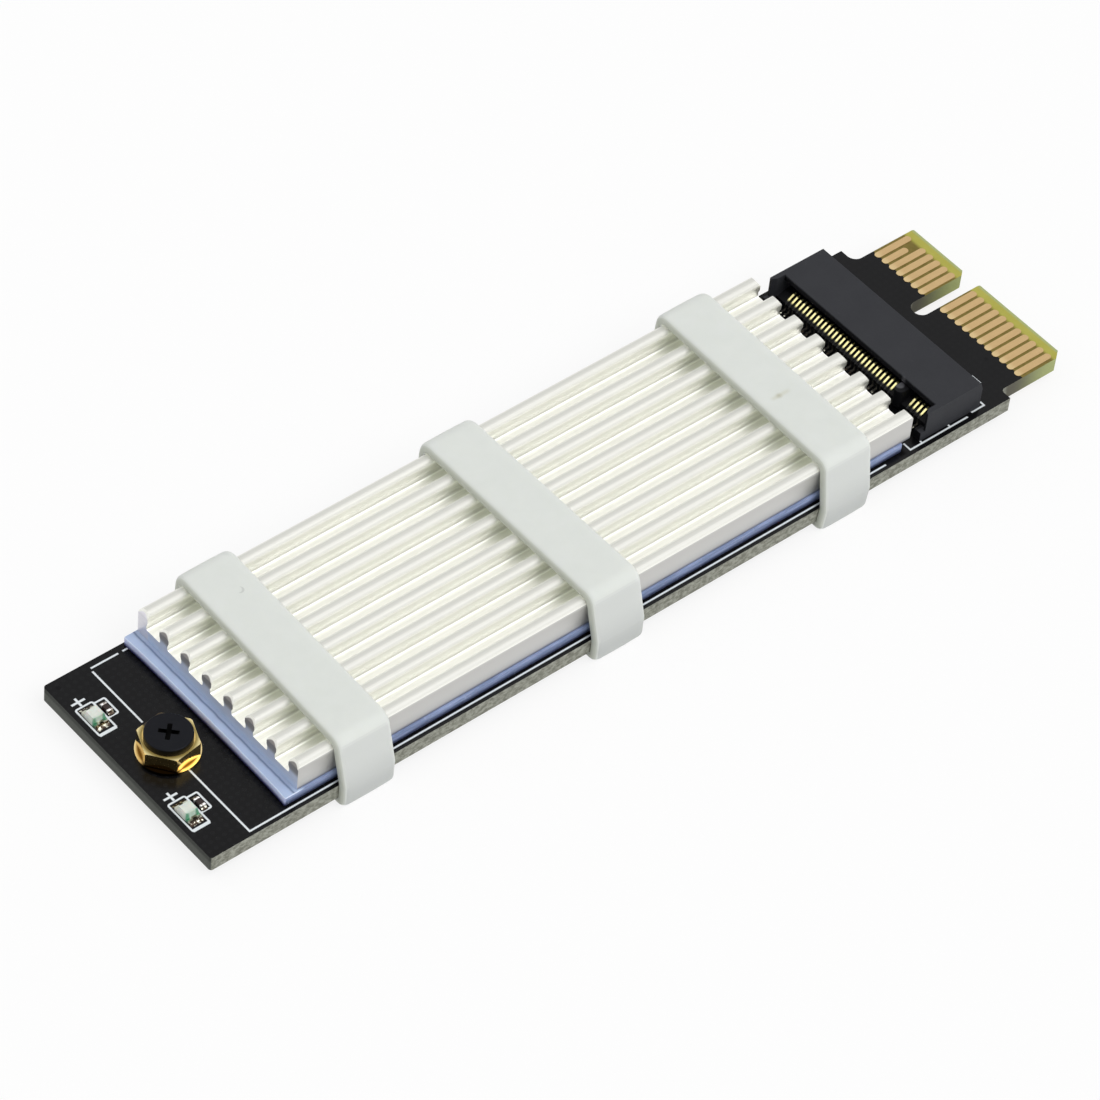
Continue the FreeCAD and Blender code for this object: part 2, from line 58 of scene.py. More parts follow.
MM = 0.001
board_low, board_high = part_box("circuit_board")
sink_low, sink_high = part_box("heatsink")
pad_low, pad_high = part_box("thermal_pad")
tails_low, tails_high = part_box("socket_lower_contacts")
standoff_low, standoff_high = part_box("standoff")
socket_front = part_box("socket_housing")[0].x
rear_tails_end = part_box("socket_upper_contacts")[1].x
top_z = board_high.z

# Millimetres on the card: x from its lamp end, y from its near edge, z from its component side
CARD_LENGTH = (board_high.x - board_low.x) / MM
SINK_START = (sink_low.x - board_low.x) / MM
SINK_MIDDLE = ((sink_low.y + sink_high.y) / 2 - board_low.y) / MM
SINK_HALF = (sink_high.y - sink_low.y) / 2 / MM
FIN_COUNT = 8
FIN_WIDTH = 1.3
FIRST_FIN = (sink_low.y - board_low.y) / MM
FIN_PITCH = (2 * SINK_HALF - FIN_WIDTH) / (FIN_COUNT - 1)
STANDOFF_X = (standoff_low.x + standoff_high.x - 2 * board_low.x) / 2 / MM
STANDOFF_Y = (standoff_low.y + standoff_high.y - 2 * board_low.y) / 2 / MM
SCREW_TOP = (standoff_high.z - top_z) / MM + 0.65
MASK_END = 94.26
MODULE_STOP = (socket_front - board_low.x) / MM + 3.3
LAMP_STARTS = {"far": 17.2, "near": 4.33}
LAMP_ENDS = ((5.6, 6.0), (18.5, 18.9))
CONTACT_PITCH = 0.5
FRONT_NEAR_CONTACTS = 4
REAR_NEAR_CONTACTS = 5
KEYED_CONTACTS = 4
FAR_CONTACTS = 29


def on_card(x, y):
    """Point on the component side, x mm from the lamp end and y mm from the near edge."""
    return Vector((board_low.x + x * MM, board_low.y + y * MM, top_z))


def paint(red, green, blue):
    """Linear colour of a screen colour given from 0 to 255."""
    parts = []
    for value in (red, green, blue):
        value /= 255
        parts.append(value / 12.92 if value <= 0.04045 else ((value + 0.055) / 1.055) ** 2.4)
    return (*parts, 1.0)


# Materials


class Level:
    """A value in a material; arithmetic on it adds Math nodes."""

    def __init__(self, wiring, socket):
        self.wiring = wiring
        self.socket = socket

    def math(self, operation, *others):
        """A Math node on this value and the others."""
        return self.wiring.add("Math", {"operation": operation}, dict(enumerate((self, *others))))

    def __add__(self, other):
        return self.math("ADD", other)

    def __sub__(self, other):
        return self.math("SUBTRACT", other)

    def __rsub__(self, other):
        return self.wiring.add("Math", {"operation": "SUBTRACT"}, {0: other, 1: self})

    def __mul__(self, other):
        return self.math("MULTIPLY", other)

    def __truediv__(self, other):
        return self.math("DIVIDE", other)

    def __abs__(self):
        return self.math("ABSOLUTE")

    def __or__(self, other):
        return self.math("MAXIMUM", other)

    __radd__ = __add__
    __rmul__ = __mul__

    def rise(self, low, high):
        """0 below low and 1 above high, with a smooth ramp between them."""
        sockets = {"Value": self, "From Min": low, "From Max": high}
        return self.wiring.add("MapRange", {"interpolation_type": "SMOOTHSTEP"}, sockets)

    def within(self, low, high, soft=0.03):
        """1 between low and high, and 0 outside, with soft borders."""
        return self.rise(low - soft, low + soft) * (1 - self.rise(high - soft, high + soft))


class Wiring:
    """The nodes of one tree, all added in one way."""

    def __init__(self, tree):
        self.nodes = tree.nodes
        self.links = tree.links

    def add(self, kind, settings, sockets, output=0):
        """One node: its type, its settings, its socket values or links, and the output wanted."""
        node = self.nodes.new("ShaderNode" + kind)
        for key, value in settings.items():
            setattr(node, key, value)
        for key, value in sockets.items():
            if isinstance(value, Level):
                self.links.new(value.socket, node.inputs[key])
            else:
                node.inputs[key].default_value = value
        return Level(self, node.outputs[output])

    def seen_directly(self):
        """1 for rays from the camera and for those that mirror or pass through, else 0."""
        camera, glossy, through = [self.add("LightPath", {}, {}, "Is " + kind + " Ray")
                                   for kind in ("Camera", "Glossy", "Transmission")]
        return camera | glossy | through


class Finish(Wiring):
    """A node material, with card coordinates in millimetres to work from."""

    def __init__(self, name, **constants):
        self.material = bpy.data.materials.new(name)
        self.material.use_nodes = True
        super().__init__(self.material.node_tree)
        self.shader = self.nodes["Principled BSDF"]
        for socket, value in constants.items():
            self.shader.inputs[socket.replace("_", " ")].default_value = value
        spot = self.add("TexCoord", {}, {}, "Object")
        corner = (board_low.x, board_low.y, top_z)
        moved = self.add("VectorMath", {"operation": "SUBTRACT"}, {0: spot, 1: corner})
        self.spot = self.add("VectorMath", {"operation": "SCALE"}, {0: moved, "Scale": 1 / MM})
        self.x, self.y, self.z = self.split(self.spot)

    def split(self, vector):
        """A vector's X, Y and Z."""
        node = self.add("SeparateXYZ", {}, {0: vector}).socket.node
        return [Level(self, output) for output in node.outputs]

    def facing(self):
        """The surface's own direction, as X, Y and Z."""
        return self.split(self.add("NewGeometry", {}, {}, "True Normal"))

    def distance(self, x, y):
        """Distance from the upright line through x and y."""
        across = self.x - x
        along = self.y - y
        return (across * across + along * along).math("SQRT")

    def stretched(self, x, y, z):
        """Card coordinates, each multiplied by its own number."""
        return self.add("VectorMath", {"operation": "MULTIPLY"}, {0: self.spot, 1: (x, y, z)})

    def grain(self, scale, detail=3.0, stretch=(1, 1, 1), rough=0.6):
        """Noise from 0 to 1, scale lumps to a millimetre, stretched along the card's axes."""
        sockets = {"Vector": self.stretched(*stretch), "Scale": scale, "Detail": detail,
                   "Roughness": rough}
        return self.add("TexNoise", {}, sockets, "Fac")

    def mix(self, factor, one, two):
        """Colour that goes from one to two."""
        return self.add("Mix", {"data_type": "RGBA"}, {0: factor, 6: one, 7: two}, 2)

    def relief(self, height, strength, distance):
        """Sends a height to the shader's normal."""
        sockets = {"Height": height, "Strength": strength, "Distance": distance * MM}
        self.feed("Normal", self.add("Bump", {}, sockets))

    def feed(self, socket, value):
        """Links a value to one of the shader's sockets."""
        self.links.new(value.socket, self.shader.inputs[socket])


def box_mark(finish, x_low, x_high, y_low, y_high, soft=0.035):
    """1 inside an upright rectangle."""
    return finish.x.within(x_low, x_high, soft) * finish.y.within(y_low, y_high, soft)


def dot_mark(finish, x, y, radius, soft=0.05):
    """1 inside a round spot."""
    return 1 - finish.distance(x, y).rise(radius - soft, radius + soft)


LINE = 0.18
LAMP_MARK_GAP = 12.87
# Printed lines across the card: x, and the two ends in y
CROSS_LINES = ((4.4, 0.4, 9.4), (4.4, 15.2, 22.25), (79.6, 0.55, 1.5), (81.05, 0.5, 0.95),
               (84.53, 0.5, 0.95), (88.95, 0.7, 1.3), (90.62, 3.0, 4.2))
# Printed lines along the card: y, and the two ends in x
LONG_LINES = ((0.47, 4.35, 76.5), (22.62, 4.5, 7.4), (22.62, 7.85, 8.6), (0.55, 79.5, 86.7),
              (0.76, 87.35, 89.0))


def run_x(finish, y, x_low, x_high, width=LINE):
    """Straight line along the card."""
    return box_mark(finish, x_low, x_high, y - width / 2, y + width / 2)


def run_y(finish, x, y_low, y_high, width=LINE):
    """Straight line across the card."""
    return box_mark(finish, x - width / 2, x + width / 2, y_low, y_high)


def rounded_frame(finish, x_low, x_high, y_low, y_high, radius, width=LINE):
    """Outline of a rectangle with rounded corners."""
    half_x = (x_high - x_low) / 2 - radius
    half_y = (y_high - y_low) / 2 - radius
    across = (abs(finish.x - (x_low + x_high) / 2) - half_x) | 0.0
    along = (abs(finish.y - (y_low + y_high) / 2) - half_y) | 0.0
    reach = (across * across + along * along).math("SQRT")
    return reach.within(radius - width / 2, radius + width / 2)


def lamp_marks(finish, shift):
    """White outlines round one lamp and its resistor, and the plus beside them."""
    low = 16.05 - shift
    marks = rounded_frame(finish, 0.6, 2.35, low, low + 3.5, 0.18)
    marks = marks | run_x(finish, low + 0.06, 0.6, 2.35, 0.32)
    marks = marks | rounded_frame(finish, 2.35, 3.45, low + 1.25, low + 3.25, 0.15)
    middle = low + 4.12
    marks = marks | run_x(finish, middle, 0.65, 2.05, 0.22)
    return marks | run_y(finish, 1.35, middle - 0.5, middle + 0.5, 0.22)


def print_marks(finish):
    """All the white marks on the component side."""
    marks = lamp_marks(finish, 0.0) | lamp_marks(finish, LAMP_MARK_GAP)
    for x, y_low, y_high in CROSS_LINES:
        marks = marks | run_y(finish, x, y_low, y_high)
    for y, x_low, x_high in LONG_LINES:
        marks = marks | run_x(finish, y, x_low, x_high)
    return marks


HATCH_TURNS = 4.4  # radians to a millimetre


def board_finish():
    """Black solder mask with white marks, bare laminate at the tongue and fibrous edges."""
    finish = Finish("black_solder_mask", Specular_IOR_Level=0.14)
    x, y, z = finish.x, finish.y, finish.z
    nx, _, nz = finish.facing()
    face = abs(nz).rise(0.95, 0.98)
    top = nz.rise(0.9, 0.95)
    masked = face * (1 - x.rise(MASK_END, MASK_END + 0.04))
    cloud = finish.grain(0.35, 4.0)
    fine = finish.grain(9.0, 3.0)
    diagonal = ((x + y) * HATCH_TURNS).math("SINE") * ((x - y) * HATCH_TURNS).math("SINE")
    hatch = diagonal.rise(0.1, 0.6) * (1 - x.rise(8.0, 12.0) * 0.55)
    ink = finish.mix(cloud, paint(8, 8, 10), paint(16, 16, 18))
    ink = finish.mix(hatch * 0.3, ink, paint(28, 29, 30))
    white = top * print_marks(finish) * masked
    ink = finish.mix(white, ink, paint(234, 240, 243))
    vias = dot_mark(finish, 93.2, 5.0, 0.2) | dot_mark(finish, 0.95, 22.45, 0.22)
    ink = finish.mix(vias * top, ink, paint(0, 0, 2))
    weave = finish.grain(1.2, 2.0, (1, 0.4, 1))
    tone = finish.grain(0.5, 3.0)
    # The bare laminate between the fingers is painted darker than at the open tip, in part as
    # painted shade from the fingers.
    between = finish.mix(weave, paint(104, 92, 40), paint(140, 124, 66))
    open_tip = finish.mix(weave * 0.5 + tone * 0.5, paint(166, 160, 66), paint(190, 186, 96))
    bare = finish.mix(x.rise(CARD_LENGTH - 1.5, CARD_LENGTH - 1.0), between, open_tip)
    bare = finish.mix(x.rise(CARD_LENGTH - 0.5, CARD_LENGTH - 0.25), bare, paint(172, 178, 118))
    streak = finish.grain(2.2, 5.0, (0.35, 0.35, 5.0), 0.7)
    fibre = finish.grain(1.5, 5.0, (1, 1, 1.6), 0.75).rise(0.36, 0.66)
    along_edge = finish.mix(fibre * 0.75 + streak * 0.25, paint(98, 98, 87), paint(176, 178, 166))
    # Painted shade: the lamp-end edge is painted darker than the long edges, darkest along its top.
    upper_edge = finish.mix(streak, paint(38, 41, 37), paint(62, 65, 59))
    lower_edge = finish.mix(streak, paint(62, 65, 60), paint(98, 101, 95))
    shaded_end_edge = finish.mix((0 - z).rise(0.35, 0.75), upper_edge, lower_edge)
    tongue_edge = finish.mix(x.rise(93.0, 98.5), paint(96, 94, 82), paint(168, 176, 118))
    edge = finish.mix(abs(nx).rise(0.5, 0.8), along_edge, shaded_end_edge)
    edge = finish.mix(x.rise(92.0, 92.6), edge, tongue_edge)
    flat = finish.mix(masked, bare, ink)
    finish.feed("Base Color", finish.mix(1 - face, flat, edge))
    gloss = 0.16 + cloud * 0.06 + hatch * 0.05 + fine * 0.05
    finish.feed("Roughness", gloss + (1 - masked) * 0.35 + white * 0.3)
    raised = fine * 0.4 + hatch * 0.5 * masked + white * 1.2 + streak * (1 - face) * 2.0
    finish.relief(raised, 0.3, 0.015)
    return finish.material


def aluminium_finish():
    """Bare extruded aluminium with draw lines along its length and sawn ends, with painted light:
    highlights and shade painted on the fins and walls, and the ends painted with the pad's blue
    reflection and darker higher up.
    """
    finish = Finish("bare_aluminium")
    nx, ny, nz = finish.facing()
    y, z = finish.y, finish.z
    toward_near = 0 - ny
    outer = abs(ny).rise(0.9, 0.97) * abs(y - SINK_MIDDLE).rise(SINK_HALF - 0.4, SINK_HALF - 0.1)
    draw = finish.grain(5.0, 3.0, (0.008, 1.6, 1.6), 0.5)
    cloud = finish.grain(0.3, 3.0, (0.4, 1, 1))
    saw = finish.grain(6.0, 3.0, (1, 0.25, 3.0))
    head = z.rise(3.3, 3.5)
    body = finish.mix(cloud, paint(243, 243, 237), paint(250, 250, 245))
    # Painted shade on the fins' near-facing walls, darker low down.
    shaded_near_wall = finish.mix(z.rise(2.4, 2.9), paint(222, 222, 217), paint(238, 238, 232))
    body = finish.mix(toward_near.rise(0.3, 0.7), body, shaded_near_wall)
    # Painted highlight along the near edge of each fin's head.
    body = finish.mix(toward_near.rise(0.8, 0.92) * head, body, paint(253, 253, 247))
    # Painted shade on the head tops and on the heads' sunny band, holding down the key lamp's
    # highlight.
    body = finish.mix(nz.rise(0.4, 0.8) * head, body, paint(205, 205, 200))
    sunny = toward_near.within(0.3, 0.75, 0.15) * head
    body = finish.mix(sunny * 0.6, body, paint(186, 186, 182))
    # Painted shade on the head slopes that face the far side.
    body = finish.mix(ny.rise(0.15, 0.6) * z.rise(3.0, 3.3), body, paint(229, 229, 224))
    body = finish.mix(draw.rise(0.3, 0.75) * 0.3, body, paint(222, 221, 213))
    # Painted shade on the outer side walls, darkest at their foot.
    wall = finish.mix(z.rise(1.9, 3.6), paint(217, 216, 213), paint(206, 205, 202))
    wall = finish.mix(z.rise(1.0, 1.4), paint(150, 152, 158), wall)
    body = finish.mix(outer, body, wall)
    along_row = ((y - FIRST_FIN) / FIN_PITCH).math("FRACT") * FIN_PITCH - FIN_WIDTH / 2
    crown = z + along_row * along_row * 0.9
    end = abs(nx).rise(0.3, 0.5) * (1 - crown.rise(3.74, 3.82) * head)
    far_side = SINK_MIDDLE + SINK_HALF
    last_fin = y.rise(far_side - FIN_WIDTH - 0.3, far_side - FIN_WIDTH)
    # Painted reflection on the ends: the pad's blue low down and a darker grey on the fin ends
    # above; the far fin's end is painted near white.
    ends = finish.mix(z.rise(1.1, 2.1), paint(212, 228, 252), paint(214, 222, 238))
    ends = finish.mix(z.rise(2.3, 3.0), ends, paint(142, 138, 134))
    ends = finish.mix(last_fin, ends, paint(240, 238, 244))
    ends = finish.mix(saw * 0.35, ends, paint(150, 152, 160))
    finish.feed("Base Color", finish.mix(end, body, ends))
    finish.feed("Metallic", 1 - end * (0.75 - last_fin * 0.35))
    finish.feed("Roughness", 0.44 + head * 0.1 + draw * 0.06 + cloud * 0.04 - end * 0.1)
    finish.relief(draw * (1 - end) + saw * end, 0.03, 0.006)
    return finish.material


def pad_finish():
    """Soft blue pad: a fine speckle and pale rubbed patches, a painted highlight along its rounded
    top edge, painted shade on its cut sides and beside the heatsink, and a crease beside the
    heatsink's foot painted as shade.
    """
    finish = Finish("thermal_pad_blue", Specular_IOR_Level=0.25, Subsurface_Weight=0.05,
                    Subsurface_Scale=0.0004)
    z = finish.z
    past_foot = finish.x - SINK_START
    from_middle = abs(finish.y - SINK_MIDDLE)
    cloud = finish.grain(0.8, 4.0)
    speck = finish.grain(12.0, 2.0)
    nx, _, nz = finish.facing()
    rub = finish.grain(2.5, 5.0, (1.4, 0.6, 1.0), 0.7).rise(0.58, 0.72)
    flat = finish.mix(cloud * 0.7 + speck * 0.3, paint(174, 190, 221), paint(188, 206, 236))
    uneven = past_foot + finish.grain(0.7, 3.0, (0, 1, 0)) * 0.2
    # Painted shade: a slightly darker hollow and a darker crease line just in front of the
    # heatsink's foot.
    hollow = uneven.rise(-0.6, -0.35) * (1 - past_foot.rise(0.0, 0.1))
    flat = finish.mix(hollow, flat, paint(172, 187, 214))
    crease = uneven.within(-0.38, -0.22, 0.08)
    flat = finish.mix(crease, flat, paint(120, 136, 168))
    # Painted light on the cut sides: the ends are painted brighter than the top and the near and
    # far sides darker, with painted shade toward the foot.
    front = finish.mix(z.rise(0.1, 0.6), paint(48, 48, 110), paint(206, 216, 255))
    streak = finish.grain(1.0, 4.0, (0.25, 1, 3.0), 0.6).rise(0.35, 0.65)
    blue = finish.mix(streak, paint(116, 130, 164), paint(148, 162, 198))
    side = finish.mix(z.rise(0.1, 0.7), paint(66, 74, 106), blue)
    # Painted shade on the top beside the heatsink, in the sides' blue.
    beside = past_foot.rise(0.0, 0.8) * from_middle.rise(SINK_HALF - 0.05, SINK_HALF)
    flat = finish.mix(beside, flat, blue)
    cut = finish.mix(abs(nx).rise(0.4, 0.7), side, front)
    colour = finish.mix(nz.rise(0.55, 0.9), cut, flat)
    # Painted highlight along the rounded top edge.
    rim = nz.within(0.3, 0.9, 0.08) * (1 - beside)
    colour = finish.mix(rim * 0.9, colour, paint(220, 233, 254))
    colour = finish.mix(rub * 0.35, colour, paint(200, 208, 228))
    finish.feed("Base Color", colour)
    finish.feed("Roughness", 0.6 + speck * 0.15)
    finish.relief(cloud * 1.2 + speck * 0.5, 0.3, 0.02)
    return finish.material


def band_finish():
    """White silicone that lets light through, with a small brown streak and a faint scratch;
    painted shade on its sides, and a faint painted glow on its underside over the fins.
    """
    finish = Finish("white_silicone", Specular_IOR_Level=0.3, Subsurface_Weight=0.4,
                    Subsurface_Scale=0.001, Subsurface_Radius=(1.0, 1.0, 0.9),
                    Emission_Strength=1.0)
    cloud = finish.grain(0.5, 3.0)
    fine = finish.grain(8.0, 3.0)
    nx, ny, nz = finish.facing()
    colour = finish.mix(cloud, paint(222, 226, 221), paint(230, 233, 229))
    upright = abs(ny).rise(0.75, 0.95)
    shade = finish.mix(finish.z.rise(-1.5, 2.6), paint(194, 197, 195), paint(214, 217, 214))
    colour = finish.mix(upright, colour, shade)
    # Painted shade on the side that faces the lamp end.
    shaded_flank = (0 - nx).rise(0.5, 0.95)
    colour = finish.mix(shaded_flank * 0.7, colour, paint(186, 190, 176))
    streak = box_mark(finish, 69.9, 71.9, 9.22, 9.38, 0.3) * (0.55 + cloud * 0.45)
    colour = finish.mix(streak * 0.75, colour, paint(190, 186, 150))
    colour = finish.mix(dot_mark(finish, 70.7, 9.3, 0.2, 0.3) * 0.4, colour, paint(150, 142, 92))
    arc = dot_mark(finish, 17.4, 18.9, 0.38, 0.04)
    scratch = arc * (1 - dot_mark(finish, 17.24, 19.06, 0.4, 0.04))
    colour = finish.mix(scratch * 0.3, colour, paint(150, 152, 148))
    finish.feed("Base Color", colour)
    # Painted glow: the underside over the fins emits faintly, so that its reflection in the
    # heatsink's grooves is lighter.
    inside = (0 - nz).rise(0.3, 0.7) * finish.z.rise(3.0, 3.5)
    finish.feed("Emission Color", finish.mix(inside, paint(0, 0, 0), paint(150, 154, 140)))
    finish.feed("Roughness", 0.45 + fine * 0.1 + cloud * 0.06)
    finish.relief(fine * 0.4 + cloud, 0.15, 0.02)
    return finish.material


LAMP_GREEN = paint(66, 150, 112)


def green_corners(finish, low):
    """Corners of a lamp's near end, where its green carrier shows."""
    return dot_mark(finish, 0.88, low, 0.2, 0.1) | dot_mark(finish, 1.94, low, 0.2, 0.1)


def tin_finish(name, dark, bright, low, high):
    """Tinned metal painted dark as a reflection of the black board, with painted bright glints,
    which start where its grain goes from low to high.

    It's green at a lamp's near corners, and covered with resin at a lamp's far end.
    """
    finish = Finish(name, Metallic=0.9)
    # Painted glints: bright spots where the grain rises, over a base painted dark as the board's
    # reflection.
    painted_glint = finish.grain(2.6, 2.0, (1, 1, 1.5)).rise(low, high)
    fine = finish.grain(9.0, 3.0)
    colour = finish.mix(painted_glint, dark, bright)
    green = green_corners(finish, LAMP_STARTS["near"]) | green_corners(finish, LAMP_STARTS["far"])
    near_lamp, far_lamp = [finish.y.within(start, end, 0.02) for start, end in LAMP_ENDS]
    resin = (near_lamp | far_lamp) * (1 - finish.x.rise(2.1, 2.12))
    colour = finish.mix(green * 0.8, colour, LAMP_GREEN)
    finish.feed("Base Color", finish.mix(resin, colour, paint(206, 208, 192)))
    finish.feed("Metallic", 0.9 - resin * 0.9)
    finish.feed("Roughness", 0.22 + fine * 0.12)
    return finish.material


FLANGE_SHADE_WAY = (-0.788, -0.616)
RIM_SHADE_WAY = (0.061, 0.998)


def standoff_finish():
    """Gold plating, rougher at the hexagon's rim, with a painted highlight on that rim, painted
    shade on the rim behind the screw and painted shade low in front.
    """
    finish = Finish("standoff_gold")
    cloud = finish.grain(1.3, 3.0)
    fine = finish.grain(9.0, 3.0)
    nz = finish.facing()[2]
    across = finish.x - STANDOFF_X
    along = finish.y - STANDOFF_Y
    reach = finish.distance(STANDOFF_X, STANDOFF_Y)

    def toward(way):
        return (across * way[0] + along * way[1]) / reach

    plate = finish.mix(cloud, paint(214, 180, 108), paint(228, 200, 132))
    low = 1 - finish.z.rise(0.32, 0.42)
    flange = finish.mix(reach.rise(2.5, 2.75), paint(120, 88, 34), paint(232, 208, 150))
    plate = finish.mix(low, plate, flange)
    # Painted shade on the flange low in front.
    front = toward(FLANGE_SHADE_WAY).rise(0.72, 0.86)
    plate = finish.mix(low * front, plate, paint(24, 17, 6))
    # Painted highlight: the hexagon's top rim is painted pale, and made less metallic and rougher.
    rim = nz.rise(0.7, 0.9) * finish.z.rise(1.5, 1.6) * reach.rise(2.18, 2.32)
    # Painted shade on the rim behind the screw.
    painted_screw_shade = toward(RIM_SHADE_WAY).rise(0.87, 0.91) * rim
    painted_rim_highlight = finish.mix(reach.rise(2.25, 2.8), paint(158, 136, 66), paint(242, 226, 168))
    plate = finish.mix(rim, plate, painted_rim_highlight)
    finish.feed("Base Color", finish.mix(painted_screw_shade, plate, paint(60, 48, 28)))
    finish.feed("Metallic", 1 - rim * 0.6)
    finish.feed("Roughness", 0.1 + fine * 0.08 + rim * 0.3)
    return finish.material


def spring_finish():
    """Socket contacts: gold where they carry the module; elsewhere they are painted dark as shade,
    greyer at their tails low down.
    """
    finish = Finish("socket_contact_plating", Metallic=1.0)
    cloud = finish.grain(2.0, 3.0)
    gold = finish.mix(cloud, paint(232, 220, 146), paint(246, 240, 182))
    # Painted shade: outside the gold window the contacts are painted dark, greyer at their tails
    # low down.
    shaded_contact = finish.mix(cloud, paint(30, 30, 30), paint(60, 60, 60))
    shaded_contact = finish.mix(1 - finish.z.rise(0.6, 0.9), shaded_contact, paint(118, 115, 108))
    lit = finish.x.within(MODULE_STOP - 1.78, MODULE_STOP - 0.85, 0.12) * finish.z.rise(0.95, 1.25)
    finish.feed("Base Color", finish.mix(lit, shaded_contact, gold))
    finish.feed("Roughness", 0.26 + cloud * 0.1)
    return finish.material


def finger_finish():
    """Edge contacts: thin gold over copper with a little wear, and a painted highlight that makes
    their inner ends paler.
    """
    finish = Finish("edge_contact_gold", Metallic=0.8)
    wear = finish.grain(2.2, 4.0, (0.35, 1.2, 1))
    pits = finish.grain(10.0, 3.0)
    inner = 1 - finish.x.rise(94.2, 94.9)
    colour = finish.mix(wear, paint(192, 162, 114), paint(206, 176, 128))
    # Painted highlight on the inner ends.
    colour = finish.mix(inner * 0.6, colour, paint(220, 198, 150))
    finish.feed("Base Color", colour)
    finish.feed("Roughness", 0.34 + pits * 0.16)
    finish.relief(wear + pits * 0.6, 0.15, 0.01)
    return finish.material


def plastic_finish():
    """Dark moulded plastic with a fine matt grain, painted nearly black as shade inside the mouth
    and on its front faces, with a painted highlight on the key's rounded front.
    """
    finish = Finish("socket_moulding", Specular_IOR_Level=0.18)
    cloud = finish.grain(0.4, 3.0)
    fine = finish.grain(11.0, 3.0)
    scuff = finish.grain(1.4, 5.0, (1, 0.5, 1), 0.75).rise(0.6, 0.75)
    nx, _, nz = finish.facing()
    colour = finish.mix(cloud, paint(42, 43, 47), paint(51, 52, 56))
    colour = finish.mix(scuff * 0.3 * nz.rise(0.8, 0.95), colour, paint(74, 75, 80))
    # Painted highlight: a grey spot on the key's rounded front.
    nose_highlight = dot_mark(finish, 82.52, 5.6, 0.42, 0.1) * finish.z.rise(2.3, 2.38)
    # Painted shade: nearly black inside the mouth and on the faces toward the front.
    between_arms = finish.y.within(1.4, 21.7, 0.05) * (1 - finish.x.rise(86.0, 86.5))
    mouth = between_arms * (1 - finish.z.rise(2.9, 3.1))
    front = (0 - nx).rise(0.5, 0.8) * (1 - finish.z.rise(3.0, 3.15))
    colour = finish.mix((mouth | front) * 0.9, colour, paint(2, 2, 4))
    finish.feed("Base Color", finish.mix(nose_highlight, colour, paint(84, 84, 88)))
    finish.feed("Roughness", 0.5 + fine * 0.2)
    finish.relief(fine + cloud, 0.2, 0.012)
    return finish.material


def screw_finish():
    """Black oxide steel, with painted shade on its sides and in its deep cross recess."""
    finish = Finish("black_oxide", Metallic=0.7, Specular_IOR_Level=0.1)
    cloud = finish.grain(0.8, 2.0)
    fine = finish.grain(10.0, 3.0)
    nz = finish.facing()[2]
    # Painted shade: the cross recess is painted pure black.
    inner = dot_mark(finish, STANDOFF_X, STANDOFF_Y, 1.2)
    shaded_recess = inner * (1 - finish.z.rise(SCREW_TOP - 0.05, SCREW_TOP - 0.01))
    colour = finish.mix(cloud, paint(25, 26, 30), paint(31, 32, 36))
    # Painted shade: the sides are painted darker than the top.
    colour = finish.mix(1 - nz.rise(0.3, 0.7), colour, paint(7, 7, 8))
    finish.feed("Base Color", finish.mix(shaded_recess, colour, paint(0, 0, 0)))
    finish.feed("Roughness", 0.4 + fine * 0.12)
    finish.relief(fine, 0.15, 0.01)
    return finish.material


def carrier_finish(low):
    """Pale carrier of a lamp, green at its near end."""
    finish = Finish("lamp_carrier", Specular_IOR_Level=0.4)
    cloud = finish.grain(3.0, 3.0)
    pale = finish.mix(cloud, paint(206, 210, 200), paint(232, 235, 226))
    near = 1 - finish.y.rise(low + 0.05, low + 0.3)
    finish.feed("Base Color", finish.mix(near, pale, paint(62, 140, 104)))
    finish.feed("Roughness", 0.4 + cloud * 0.1)
    return finish.material


def lens_finish(low):
    """Milky resin, green at the corners of the lamp's near end."""
    finish = Finish("lamp_resin", Specular_IOR_Level=0.4, Subsurface_Weight=0.2,
                    Subsurface_Scale=0.0004)
    cloud = finish.grain(2.5, 2.0)
    colour = finish.mix(cloud, paint(214, 220, 210), paint(236, 240, 232))
    near = 1 - finish.y.rise(low + 0.1, low + 0.5)
    colour = finish.mix(near * 0.35, colour, paint(120, 186, 154))
    colour = finish.mix(green_corners(finish, low) * 0.85, colour, LAMP_GREEN)
    finish.feed("Base Color", colour)
    finish.feed("Roughness", 0.24 + cloud * 0.12)
    return finish.material


def ceramic_finish():
    """Dark glaze of the resistors."""
    finish = Finish("resistor_glaze", Specular_IOR_Level=0.3)
    cloud = finish.grain(4.0, 3.0)
    finish.feed("Base Color", finish.mix(cloud, paint(30, 22, 20), paint(56, 42, 40)))
    finish.feed("Roughness", 0.35 + cloud * 0.2)
    return finish.material


# Meshes


def place_mesh(name, points, faces, material):
    """A new piece from points in metres, riding on the card."""
    mesh = bpy.data.meshes.new(name)
    mesh.from_pydata([tuple(p) for p in points], [], faces)
    mesh.materials.append(material)
    mesh.polygons.foreach_set("use_smooth", [True] * len(mesh.polygons))
    mesh.update()
    piece = bpy.data.objects.new(name, mesh)
    bpy.context.scene.collection.objects.link(piece)
    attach(piece, "root")
    return piece


def tube_faces(rings, around, closed):
    """Quads over rings of points, each ring a closed loop."""
    faces = []
    for i in range(rings if closed else rings - 1):
        for j in range(around):
            a = i * around + j
            b = i * around + (j + 1) % around
            c = (i + 1) % rings * around + (j + 1) % around
            d = (i + 1) % rings * around + j
            faces.append((a, b, c, d))
    return faces


